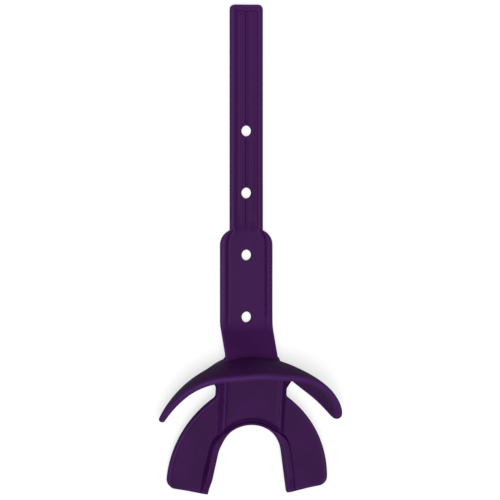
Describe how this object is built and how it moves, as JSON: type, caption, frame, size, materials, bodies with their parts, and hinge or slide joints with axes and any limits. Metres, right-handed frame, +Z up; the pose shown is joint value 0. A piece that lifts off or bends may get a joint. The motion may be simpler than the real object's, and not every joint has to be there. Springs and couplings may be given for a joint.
{
  "type": "strapped mouthguard",
  "caption": "Flexible moulded mouthguard with a U-shaped bite tray, a dished lip shield and a long flat strap with fastening holes.",
  "frame": {"origin": "middle of the outer size, on the table that the mouthguard lies on", "axes": "+X to the side, +Y along the strap from the bite tray to the tip, +Z up from the table"},
  "size_m": [0.072, 0.186, 0.0258],
  "materials": {
    "moulding": "satin"
  },
  "bodies": {
    "mouthpiece": {"bite_floor_front": "moulding", "bridge_pad": "moulding", "bridge_bead_left": "moulding", "bridge_bead_right": "moulding", "tongue_rim_front": "moulding", "lip_shield_centre": "moulding", "strap_root": "moulding"},
    "left_wing": {"lip_shield_wing_left": "moulding"},
    "right_wing": {"lip_shield_wing_right": "moulding"},
    "left_arm": {"bite_arm_left": "moulding", "tongue_wall_left": "moulding"},
    "right_arm": {"bite_arm_right": "moulding", "tongue_wall_right": "moulding"},
    "strap_1": {"strap_wide_lower": "moulding"},
    "strap_2": {"strap_wide_upper": "moulding"},
    "strap_3": {"strap_narrow_lower": "moulding"},
    "strap_4": {"strap_narrow_upper": "moulding"},
    "strap_5": {"strap_tail": "moulding"}
  },
  "joints": [
    {"name": "strap_root_bend", "type": "hinge", "parent": "mouthpiece", "child": "strap_1", "pos_m": [0, -0.029, 0.0013], "axis": [1, 0, 0], "range_deg": [-25, 60], "stiffness_Nm_per_rad": 0.09},
    {"name": "strap_wide_bend", "type": "hinge", "parent": "strap_1", "child": "strap_2", "pos_m": [0, -0.014, 0.0013], "axis": [1, 0, 0], "range_deg": [-45, 45], "stiffness_Nm_per_rad": 0.06},
    {"name": "strap_shoulder_bend", "type": "hinge", "parent": "strap_2", "child": "strap_3", "pos_m": [0, 0.012, 0.0013], "axis": [1, 0, 0], "range_deg": [-45, 45], "stiffness_Nm_per_rad": 0.035},
    {"name": "strap_narrow_bend", "type": "hinge", "parent": "strap_3", "child": "strap_4", "pos_m": [0, 0.0332, 0.0013], "axis": [1, 0, 0], "range_deg": [-45, 45], "stiffness_Nm_per_rad": 0.035},
    {"name": "strap_tail_bend", "type": "hinge", "parent": "strap_4", "child": "strap_5", "pos_m": [0, 0.061, 0.0013], "axis": [1, 0, 0], "range_deg": [-45, 45], "stiffness_Nm_per_rad": 0.035},
    {"name": "left_wing_flex", "type": "hinge", "parent": "mouthpiece", "child": "left_wing", "pos_m": [-0.01885, -0.047, 0.00954], "axis": [0, 0.1736, -0.9848], "range_deg": [-8, 15], "stiffness_Nm_per_rad": 0.09},
    {"name": "right_wing_flex", "type": "hinge", "parent": "mouthpiece", "child": "right_wing", "pos_m": [0.01885, -0.047, 0.00954], "axis": [0, -0.1736, 0.9848], "range_deg": [-8, 15], "stiffness_Nm_per_rad": 0.09},
    {"name": "left_arm_spread", "type": "hinge", "parent": "mouthpiece", "child": "left_arm", "pos_m": [-0.01644, -0.06864, 0.00573], "axis": [0, 0.1736, -0.9848], "range_deg": [-5, 5], "stiffness_Nm_per_rad": 1.2},
    {"name": "right_arm_spread", "type": "hinge", "parent": "mouthpiece", "child": "right_arm", "pos_m": [0.01644, -0.06864, 0.00573], "axis": [0, -0.1736, 0.9848], "range_deg": [-5, 5], "stiffness_Nm_per_rad": 1.2}
  ]
}
